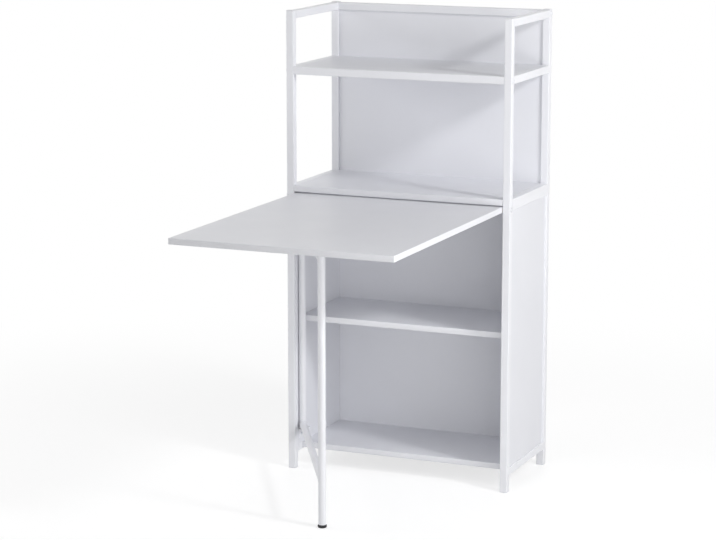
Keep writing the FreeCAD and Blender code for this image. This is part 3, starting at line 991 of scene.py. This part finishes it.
PAN_SCREW = Fastener(Recess.CROSS, 0.004, 0.0024, 0.002, 0.0044, 0.0014)
LUG_SCREW = Fastener(Recess.CROSS, 0.004, 0.0018, 0.002, 0.0042, 0.0011)
BUTTON_BOLT = Fastener(Recess.HEXAGON, 0.006, 0.003, 0.003, 0.004, 0.0018)

FASTENER_SETS = (
    FastenerSet("shelf_tab_screws", "tab_screws", PAN_SCREW, Body.FRAME, Slot.ZINC, DOWN),
    FastenerSet("side_panel_screws", "panel_screws", PAN_SCREW, Body.FRAME, Slot.ZINC, DOWN),
    FastenerSet("back_panel_screws", "back_lug_screws", LUG_SCREW, Body.FRAME, Slot.ZINC, BACK),
    FastenerSet("gate_bracket_screws", "bracket_screws", PAN_SCREW, Body.FRAME, Slot.ZINC, RIGHT),
    FastenerSet("cross_rail_button_bolts", "cross_rail_bolts", BUTTON_BOLT, Body.FRAME, Slot.BOLT),
    FastenerSet("desktop_pivot_bolts", "pivot_bolts", BUTTON_BOLT, Body.DESKTOP, Slot.BOLT),
)


# Frame trim


@dataclass
class PostTrim(Job):
    """Moulded caps and feet of the four posts.

    The crown and the taper are drawn in steps, each with its rise and its scale.
    """

    corner: float = 0.002
    corner_facets: int = 5
    cap_rim: float = 0.0015
    crown: tuple[Step, ...] = ((0.00025, 0.985), (0.0002, 0.955), (0.0001, 0.88), (0.00005, 0.6))
    foot_rim: float = 0.003
    taper: tuple[Step, ...] = ((-0.0003, 0.985), (-0.0002, 0.96))
    stem_share: float = 0.85

    def slab(self, name: str, low: Point, high: Point) -> Workpiece:
        """Model a square slab with round upright corners.

        Args:
            name: Name of the piece.
            low: Lowest corner.
            high: Highest corner.

        Returns:
            The slab.
        """
        piece = Workpiece.block(name, low, high)
        piece.round_edges(lambda edge: not keeps(edge, "z"), self.corner, self.corner_facets)
        return piece

    def cap(self, solid: Solid) -> Workpiece:
        """Model one cap with a low crown, its stem down in the tube.

        Args:
            solid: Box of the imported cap.

        Returns:
            The cap.
        """
        low, high = solid.low, solid.high
        rim = high.z - self.cap_rim
        edge = high.z - sum(rise for rise, _ in self.crown)
        piece = self.slab("cap", (low.x, low.y, rim), (high.x, high.y, edge))
        piece.draw(looks_up, solid.centre, list(self.crown))
        piece.draw(looks_down, solid.centre, [(0.0, self.stem_share), (low.z - rim, 1.0)])
        return piece

    def foot(self, solid: Solid) -> Workpiece:
        """Model one foot with a tapered base, its stem up in the tube.

        Args:
            solid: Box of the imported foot.

        Returns:
            The foot.
        """
        low, high = solid.low, solid.high
        edge = low.z - sum(rise for rise, _ in self.taper)
        piece = self.slab("foot", (low.x, low.y, edge), (high.x, high.y, self.foot_rim))
        piece.draw(looks_down, solid.centre, list(self.taper))
        piece.draw(looks_up, solid.centre, [(0.0, self.stem_share), (high.z - self.foot_rim, 1.0)])
        return piece

    def make(self) -> None:
        """Model and mount the caps and the feet."""
        caps = [self.cap(solid) for solid in solids_of("post_caps")]
        self.maker.hand_over(gather("post_end_caps", caps), Body.FRAME, Slot.PLASTIC, "post_caps")
        feet = [self.foot(solid) for solid in solids_of("post_feet")]
        self.maker.hand_over(gather("post_moulded_feet", feet), Body.FRAME, Slot.PLASTIC, "post_feet")


@dataclass
class EdgeBands(Job):
    """Edge bands of the boards, their outer arrises rounded."""

    arris: float = 0.0007
    bolt_clearance: float = 0.0036
    drill_reach: float = 0.01

    def band(self, solid: Solid, outward: Vector, free_ends: bool = False) -> Workpiece:
        """Model one band.

        Args:
            solid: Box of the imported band.
            outward: Way that its free face looks.
            free_ends: Whether its ends are rounded too.

        Returns:
            The band with round outer arrises.
        """
        piece = Workpiece.block("band", tuple(solid.low), tuple(solid.high))
        face_at = solid.centre.dot(outward) + abs(solid.size.dot(outward)) / 2

        def outer(edge: bmesh.types.BMEdge) -> bool:
            """Whether an edge bounds the free face where it is rounded."""
            on_face = all(abs(vertex.co.dot(outward) - face_at) < CLOSE for vertex in edge.verts)
            return on_face and (free_ends or keeps(edge, "z"))

        piece.round_edges(outer, self.arris)
        return piece

    def bore(self, piece: Workpiece, at: Vector) -> None:
        """Bore a band along X where a pivot bolt passes.

        Args:
            piece: The band.
            at: Middle of the bore.
        """
        ends = [(self.bolt_clearance, -self.drill_reach), (self.bolt_clearance, self.drill_reach)]
        drill = Workpiece.turned("drill", ends)
        piece.join_in(drill.copy_to(facing(RIGHT, at)), "DIFFERENCE")
        drill.discard()

    def make(self) -> None:
        """Model and mount the bands of the shelves and of the desktop."""
        shelf = [self.band(solid, FRONT) for solid in solids_of("shelf_edge_bands")]
        self.maker.hand_over(gather("shelf_front_bands", shelf), Body.FRAME, Slot.BAND, "shelf_edge_bands")
        long = [self.band(solid, Vector((0, math.copysign(1.0, solid.centre.y), 0)), free_ends=True)
                for solid in solids_of("desktop_long_bands")]
        self.maker.hand_over(gather("desktop_front_and_rear_bands", long),
                             Body.DESKTOP, Slot.BAND, "desktop_long_bands")
        sides = []
        for solid, bolt in zip(solids_of("desktop_side_bands"), solids_of("pivot_bolts")):
            side = self.band(solid, Vector((solid.side, 0, 0)))
            self.bore(side, Vector((solid.centre.x, bolt.centre.y, bolt.centre.z)))
            sides.append(side)
        self.maker.hand_over(gather("desktop_end_bands", sides),
                             Body.DESKTOP, Slot.BAND, "desktop_side_bands")


@dataclass(frozen=True)
class Seam:
    """Where one straight weld bead lies."""

    middle: Vector
    along: Vector
    length: float


@dataclass
class WeldBeads(Job):
    """Fillet weld beads of the frame, its tabs and its lugs."""

    radius: float = 0.0016
    pitch: float = 0.0013
    ripple: float = 0.16
    end_taper: float = 0.5
    taper_slope: float = 6.0
    fewest_rings: int = 6
    sides: int = 10
    rail_seam: float = 0.017
    seam_share: float = 0.86

    def bead(self, name: str, length: float) -> Workpiece:
        """Model one straight bead along Z, centred on the origin.

        Args:
            name: Name of the piece.
            length: Length of the bead.

        Returns:
            The rippled bead.
        """
        count = max(self.fewest_rings, 2 * round(length / self.pitch))
        rings: Profile = []
        for index in range(count + 1):
            along = index / count
            swell = 1.0 if index % 2 else 1.0 - self.ripple
            taper = min(1.0, self.end_taper + self.taper_slope * min(along, 1.0 - along))
            rings.append((self.radius * swell * taper, (along - 0.5) * length))
        return Workpiece.turned(name, rings, self.sides)

    def rail_ends(self) -> list[Seam]:
        """Corners above and below each side rail's ends.

        Returns:
            One seam for each bead.
        """
        seams = []
        for side in ("left", "right"):
            for rail in ("top", "shelf", "desk", "bottom"):
                low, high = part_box(f"{side}_{rail}_rail")
                middle = (low.x + high.x) / 2
                levels = (low.z,) if rail == "top" else (low.z, high.z)
                for y in (low.y, high.y):
                    seams += [Seam(Vector((middle, y, z)), RIGHT, self.rail_seam) for z in levels]
        return seams

    def tab_corners(self) -> list[Seam]:
        """Corners under the board tabs and behind the back lugs.

        Returns:
            One seam for each bead.
        """
        seams = []
        for node in ("upper_shelf_tabs", "cabinet_top_tabs", "bottom_board_tabs", "back_lugs"):
            for solid in solids_of(node):
                wall = max(abs(solid.low.x), abs(solid.high.x)) * solid.side
                if node == "back_lugs":
                    middle, along = Vector((wall, solid.low.y, solid.centre.z)), UP
                else:
                    middle, along = Vector((wall, solid.centre.y, solid.low.z)), BACK
                seams.append(Seam(middle, along, solid.size.dot(along) * self.seam_share))
        return seams

    def make(self) -> None:
        """Model, copy and mount the frame's beads."""
        models: dict[float, Workpiece] = {}
        sets = {"frame_weld_beads": self.rail_ends(), "tab_weld_beads": self.tab_corners()}
        for name, seams in sets.items():
            copies = []
            for seam in seams:
                length = round(seam.length, 4)
                if length not in models:
                    models[length] = self.bead(f"bead_{len(models)}", length)
                copies.append(models[length].copy_to(facing(seam.along, seam.middle)))
            self.maker.hand_over(gather(name, copies), Body.FRAME, Slot.PAINT, angle=BEAD_ANGLE)
        for model in models.values():
            model.discard()


# Gate leg


@dataclass
class LegGlide(Job):
    """Black glide under the leg, with a groove round its side; shares are of its radius."""

    top: float = 0.008
    hollow: float = 0.0006
    hollow_share: float = 0.62
    sole_share: float = 0.64
    tread_share: float = 0.68
    tread_round: float = 0.0038
    tread_steps: int = 6
    groove_foot: float = 0.0041
    groove_depth: float = 0.0005
    groove_width: float = 0.0006
    groove_mouth: float = 0.001
    shoulder_share: float = 0.74
    shoulder_round: float = 0.0024
    stem_share: float = 0.35
    stem_end_share: float = 0.34

    def make(self) -> None:
        """Model and mount the glide."""
        low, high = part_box("gate_leg_glide")
        rim = (high.x - low.x) / 2
        groove_radius = rim - self.groove_depth
        sole = [(rim * self.hollow_share, self.hollow), (rim * self.sole_share, 0.0)]
        tread = rounded((rim * self.tread_share, 0.0), (rim, self.tread_round), self.tread_steps)
        groove = [(groove_radius, self.groove_foot), (groove_radius, self.groove_foot + self.groove_width),
                  (rim, self.groove_foot + self.groove_mouth)]
        shoulder = rounded((rim, self.top - self.shoulder_round), (rim * self.shoulder_share, self.top))
        stem = [(rim * self.stem_share, self.top), (rim * self.stem_end_share, high.z)]
        profile = sole + tread + groove + shoulder + stem
        piece = Workpiece.turned("leg_foot_glide", profile, FINE_LATHE_SIDES)
        piece.stand_at((low + high) / 2)
        self.maker.hand_over(piece, Body.GATE, Slot.GLIDE, "gate_leg_glide")


@dataclass
class LegCap(Job):
    """Cap in the leg's top end, which carries the desktop; shares are of its radius."""

    rim_height: float = 0.0025
    edge_round: float = 0.0012
    edge_share: float = 0.85
    plug_share: float = 0.86
    plug_end_share: float = 0.82
    plug_lead: float = 0.001
    hollow: float = 0.0003
    seat_share: float = 0.5
    hollow_share: float = 0.44
    middle_share: float = 0.2

    def make(self) -> None:
        """Model and mount the cap with its slightly hollow seat."""
        low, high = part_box("gate_leg_cap")
        rim = (high.x - low.x) / 2
        plug_radius = rim * self.plug_share
        foot = high.z - self.rim_height
        hollow = high.z - self.hollow
        plug = [(rim * self.plug_end_share, low.z), (plug_radius, low.z + self.plug_lead),
                (plug_radius, foot), (rim, foot)]
        edge = rounded((rim, high.z - self.edge_round), (rim * self.edge_share, high.z))
        seat = [(rim * self.seat_share, high.z), (rim * self.hollow_share, hollow),
                (rim * self.middle_share, hollow)]
        piece = Workpiece.turned("leg_top_cap", plug + edge + seat, FINE_LATHE_SIDES)
        piece.stand_at((low + high) / 2)
        self.maker.hand_over(piece, Body.GATE, Slot.PLASTIC, "gate_leg_cap")


@dataclass
class GateWelds(Job):
    """Beads where the gate's rails are coped to its uprights.

    The fill rounds the two tips of the saddle, and the sink draws them into the tube.
    """

    radius: float = 0.0013
    round_steps: int = 2
    points: int = 72
    fill: float = 0.3
    sink: float = 0.05
    narrow_share: float = 0.8

    def saddle(self, name: str, at: Vector, away: Vector, radius: float) -> Workpiece:
        """Model the bead round one coped rail end.

        Args:
            name: Name of the piece.
            at: Where the rail's axis meets the upright's.
            away: Direction of the rail from the upright.
            radius: Radius of both tubes.

        Returns:
            The bead, in its place.
        """
        clear_selection()
        bpy.ops.mesh.primitive_circle_add(vertices=self.points, radius=radius, fill_type="NOTHING")
        ring = Workpiece(name)
        ring.thing.matrix_world = facing(away, at)
        ring.settle()
        side = away.cross(UP)
        for vertex in ring.thing.data.vertices:
            across = (vertex.co - at).dot(side)
            reach = math.sqrt(max(0.0, radius ** 2 - across ** 2) + (self.fill * radius) ** 2)
            vertex.co += away * reach - side * across * self.sink
        bpy.ops.object.convert(target="CURVE")
        line = bpy.context.object.data
        line.bevel_depth = self.radius
        line.bevel_resolution = self.round_steps
        for index, point in enumerate(line.splines[0].points):
            point.radius = 1.0 if index % 2 else self.narrow_share
        bpy.ops.object.convert(target="MESH")
        return Workpiece(name)

    def make(self) -> None:
        """Model and mount the four saddle beads."""
        stile_low, stile_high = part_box("gate_stile")
        leg_low, leg_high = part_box("gate_leg")
        stile, leg = (stile_low + stile_high) / 2, (leg_low + leg_high) / 2
        radius = (leg_high.x - leg_low.x) / 2
        away = Vector((leg.x - stile.x, leg.y - stile.y, 0)).normalized()
        beads = []
        for rail in ("gate_top_rail", "gate_bottom_rail"):
            low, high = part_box(rail)
            level = (low.z + high.z) / 2
            for upright, direction in ((stile, away), (leg, -away)):
                at = Vector((upright.x, upright.y, level))
                beads.append(self.saddle(f"saddle_{len(beads)}", at, direction, radius))
        self.maker.hand_over(gather("gate_weld_beads", beads), Body.GATE, Slot.PAINT, angle=BEAD_ANGLE)


@dataclass
class PivotBrackets(Job):
    """Bent plates on the left side panel that carry the gate's stile."""

    plate: float = 0.003
    plate_width: float = 0.032
    bend: float = 0.0022
    bend_facets: int = 4
    corner: float = 0.004
    corner_facets: int = 5
    overrun: float = 0.01
    eased: float = 0.0003

    def bracket(self, name: str, node: str, lug_up: bool) -> Workpiece:
        """Model one pivot bracket as a bent plate with a round eye.

        Args:
            name: Name of the piece.
            node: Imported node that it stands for.
            lug_up: Whether the lug is at the plate's upper end.

        Returns:
            The bracket.
        """
        low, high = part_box(node)
        stile_low, stile_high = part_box("gate_stile")
        axis = (stile_low + stile_high) / 2
        eye_radius = high.x - axis.x
        plate_x, plate_y = low.x + self.plate, high.y - self.plate_width
        lug_low = high.z - self.plate if lug_up else low.z
        lug_high = high.z if lug_up else low.z + self.plate
        inner, outer, far_end = (lug_low, lug_high, low.z) if lug_up else (lug_high, lug_low, high.z)

        def lug_end(face: bmesh.types.BMFace) -> bool:
            """Whether a face is the end that the lug grows from."""
            return face.normal.x > SQUARE and lug_low < face.calc_center_median().z < lug_high

        piece = Workpiece.block(name, (low.x, plate_y, low.z), (plate_x, high.y, high.z))
        piece.slice((0, 0, inner), (0, 0, 1))
        piece.push_out(lug_end, (high.x - low.x - self.plate, 0, 0))
        piece.round_edges(lambda edge: lies_at(edge, x=low.x, z=outer), self.bend, self.bend_facets)
        piece.round_edges(lambda edge: lies_at(edge, z=far_end) and keeps(edge, "y"),
                          self.corner, self.corner_facets)
        piece.round_edges(lambda edge: lies_at(edge, x=high.x, y=high.y), self.corner, self.corner_facets)
        ends = [(eye_radius, lug_low), (eye_radius, lug_high)]
        eye = Workpiece.turned(name + "_eye", ends, FINE_LATHE_SIDES)
        eye.stand_at(axis)
        front = Workpiece.block(name + "_front", (plate_x, plate_y - self.overrun, low.z - self.overrun),
                                (high.x + self.overrun, axis.y, high.z + self.overrun))
        piece.join_in(front, "DIFFERENCE")
        piece.join_in(eye, "UNION")
        piece.ease(self.eased)
        return piece

    def make(self) -> None:
        """Model and mount both pivot brackets."""
        lower = self.bracket("lower_gate_bracket", "lower_pivot_bracket", True)
        self.maker.hand_over(lower, Body.FRAME, Slot.PAINT, "lower_pivot_bracket")
        upper = self.bracket("upper_gate_bracket", "upper_pivot_bracket", False)
        self.maker.hand_over(upper, Body.FRAME, Slot.PAINT, "upper_pivot_bracket")


# Studio


@dataclass(frozen=True)
class SoftBox:
    """One soft studio lamp."""

    name: str
    place: Point
    target: Point
    width: float
    height: float
    watts: float
    mirrored: bool = False

    def hang(self) -> None:
        """Put the lamp in the scene, unseen by the camera."""
        lamp = bpy.data.lights.new(self.name, "AREA")
        lamp.shape = "RECTANGLE"
        lamp.size = self.width
        lamp.size_y = self.height
        lamp.energy = self.watts
        holder = bpy.data.objects.new(self.name, lamp)
        bpy.context.scene.collection.objects.link(holder)
        holder.location = self.place
        look = Vector(self.target) - Vector(self.place)
        holder.rotation_euler = look.to_track_quat("-Z", "Y").to_euler()
        holder.visible_camera = False
        holder.visible_glossy = self.mirrored


class Wiring:
    """Nodes that the floor and the room share, in one node tree."""

    def __init__(self, tree: bpy.types.NodeTree) -> None:
        """Start with an empty tree.

        Args:
            tree: Tree to work in.
        """
        tree.nodes.clear()
        self.tree = tree

    def shader(self, kind: str, colour: float = 1.0, strength: float = 1.0) -> bpy.types.Node:
        """A grey shader.

        Args:
            kind: Type of the shader node.
            colour: Its grey.
            strength: Its strength, where it gives light.

        Returns:
            The node.
        """
        node = self.tree.nodes.new(kind)
        node.inputs["Color"].default_value = (colour, colour, colour, 1.0)
        if "Strength" in node.inputs:
            node.inputs["Strength"].default_value = strength
        return node

    def blend(self, share: bpy.types.NodeSocket, near: bpy.types.Node,
              far: bpy.types.Node) -> bpy.types.Node:
        """Blend two shaders.

        Args:
            share: Share of the second shader.
            near: Shader where the share is nought.
            far: Shader where it is one.

        Returns:
            The blending node.
        """
        node = self.tree.nodes.new("ShaderNodeMixShader")
        self.tree.links.new(share, node.inputs["Fac"])
        self.tree.links.new(near.outputs[0], node.inputs[1])
        self.tree.links.new(far.outputs[0], node.inputs[2])
        return node

    def seen(self) -> bpy.types.NodeSocket:
        """Tell rays that see the background from rays that light the desk.

        Returns:
            One for camera, glossy and transmission rays, else nought.
        """
        path = self.tree.nodes.new("ShaderNodeLightPath")
        value = path.outputs["Is Camera Ray"]
        for name in ("Is Glossy Ray", "Is Transmission Ray"):
            either = self.tree.nodes.new("ShaderNodeMath")
            either.operation = "MAXIMUM"
            self.tree.links.new(value, either.inputs[0])
            self.tree.links.new(path.outputs[name], either.inputs[1])
            value = either.outputs[0]
        return value

    def distance(self, start: float, end: float) -> bpy.types.NodeSocket:
        """Distance from the desk's middle, as a share that rises smoothly.

        Args:
            start: Distance where the share leaves nought.
            end: Distance where it reaches one.

        Returns:
            The share.
        """
        coordinates = self.tree.nodes.new("ShaderNodeTexCoord")
        length = self.tree.nodes.new("ShaderNodeVectorMath")
        length.operation = "LENGTH"
        self.tree.links.new(coordinates.outputs["Object"], length.inputs[0])
        fade = self.tree.nodes.new("ShaderNodeMapRange")
        fade.interpolation_type = "SMOOTHSTEP"
        fade.inputs["From Min"].default_value = start
        fade.inputs["From Max"].default_value = end
        self.tree.links.new(length.outputs["Value"], fade.inputs["Value"])
        return fade.outputs["Result"]

    def lead_out(self, kind: str, surface: bpy.types.Node) -> None:
        """Lead a shader to the output.

        Args:
            kind: Type of the output node.
            surface: The shader.
        """
        output = self.tree.nodes.new(kind)
        self.tree.links.new(surface.outputs[0], output.inputs["Surface"])


@dataclass
class Studio:
    """Floor, surrounding light, lamps and camera."""

    floor_size: float = 40.0
    floor_shade: float = 0.8
    floor_shown: float = 0.42
    floor_lift: float = 0.67
    fade_start: float = 1.0
    fade_end: float = 2.4
    room_strength: float = 0.31
    camera_place: Point = (2.3212, -5.4730, 1.7688)
    camera_azimuth: float = 23.1667
    camera_pitch: float = 11.1364
    camera_lens: float = 121.815
    camera_sensor: float = 36.0
    camera_nearest: float = 0.05
    camera_farthest: float = 100.0

    def floor_material(self) -> bpy.types.Material:
        """A pale floor that shows white yet keeps the desk's shadow.

        Returns:
            The material.
        """
        material = bpy.data.materials.new("pale_studio_floor")
        material.use_nodes = True
        wiring = Wiring(material.node_tree)
        lit = wiring.shader("ShaderNodeBsdfDiffuse", self.floor_shade)
        shown = wiring.shader("ShaderNodeBsdfDiffuse", self.floor_shown)
        lift = wiring.shader("ShaderNodeEmission", strength=self.floor_lift)
        lifted = wiring.tree.nodes.new("ShaderNodeAddShader")
        wiring.tree.links.new(shown.outputs[0], lifted.inputs[0])
        wiring.tree.links.new(lift.outputs[0], lifted.inputs[1])
        background = wiring.shader("ShaderNodeEmission")
        fading = wiring.blend(wiring.distance(self.fade_start, self.fade_end), lifted, background)
        wiring.lead_out("ShaderNodeOutputMaterial", wiring.blend(wiring.seen(), lit, fading))
        return material

    def floor(self) -> None:
        """Lay the floor."""
        clear_selection()
        bpy.ops.mesh.primitive_plane_add(size=self.floor_size, location=(0, 0, 0))
        piece = bpy.context.object
        piece.name = "studio_floor"
        piece.data.materials.append(self.floor_material())

    def room(self) -> None:
        """Light the desk softly from all round, in front of a white background."""
        world = bpy.data.worlds.new("studio_room")
        bpy.context.scene.world = world
        world.use_nodes = True
        wiring = Wiring(world.node_tree)
        soft = wiring.shader("ShaderNodeBackground", strength=self.room_strength)
        white = wiring.shader("ShaderNodeBackground")
        wiring.lead_out("ShaderNodeOutputWorld", wiring.blend(wiring.seen(), soft, white))

    def camera(self) -> None:
        """Set the camera where the photograph was taken from."""
        camera = bpy.data.cameras.new("main_camera")
        camera.lens = self.camera_lens
        camera.sensor_width = self.camera_sensor
        camera.clip_start = self.camera_nearest
        camera.clip_end = self.camera_farthest
        holder = bpy.data.objects.new("main_camera", camera)
        bpy.context.scene.collection.objects.link(holder)
        holder.location = self.camera_place
        tilt = math.radians(90.0 - self.camera_pitch)
        turn = math.radians(self.camera_azimuth)
        holder.rotation_euler = (tilt, 0.0, turn)
        bpy.context.scene.camera = holder

    def make(self) -> None:
        """Set up the whole studio."""
        bpy.context.scene.view_settings.view_transform = "Standard"
        self.camera()
        self.room()
        self.floor()
        for box in SOFT_BOXES:
            box.hang()
        log.info("studio set with %d soft boxes", len(SOFT_BOXES))


SOFT_BOXES = (
    SoftBox("key_soft_box", (2.51, -0.69, 2.37), (0.1, 0.15, 0.8), 0.36, 0.36, 32.0),
    SoftBox("side_soft_box", (2.36, -0.87, 1.59), (0.1, 0.15, 0.8), 1.2, 1.2, 16.5),
    SoftBox("low_soft_box", (1.8, -2.0, 0.4), (0.25, 0.1, 0.4), 1.2, 0.6, 15.0, mirrored=True),
    SoftBox("left_soft_box", (-2.6, -0.8, 1.4), (0.0, 0.0, 0.7), 1.6, 1.6, 25.0),
    SoftBox("back_soft_box", (-1.0, 3.2, 2.0), (0.0, 0.0, 0.7), 2.0, 2.0, 24.0),
)


def main() -> None:
    """Build the looks, piece by piece."""
    logging.basicConfig(level=logging.INFO, format="%(message)s")
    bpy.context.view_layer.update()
    Studio().make()
    finishes = Finishes()
    finishes.dress_packed_nodes()
    maker = Maker(finishes)
    for fasteners in FASTENER_SETS:
        fasteners.make(maker)
    PostTrim(maker).make()
    EdgeBands(maker).make()
    WeldBeads(maker).make()
    LegGlide(maker).make()
    LegCap(maker).make()
    GateWelds(maker).make()
    PivotBrackets(maker).make()


if __name__ == "__main__":
    main()
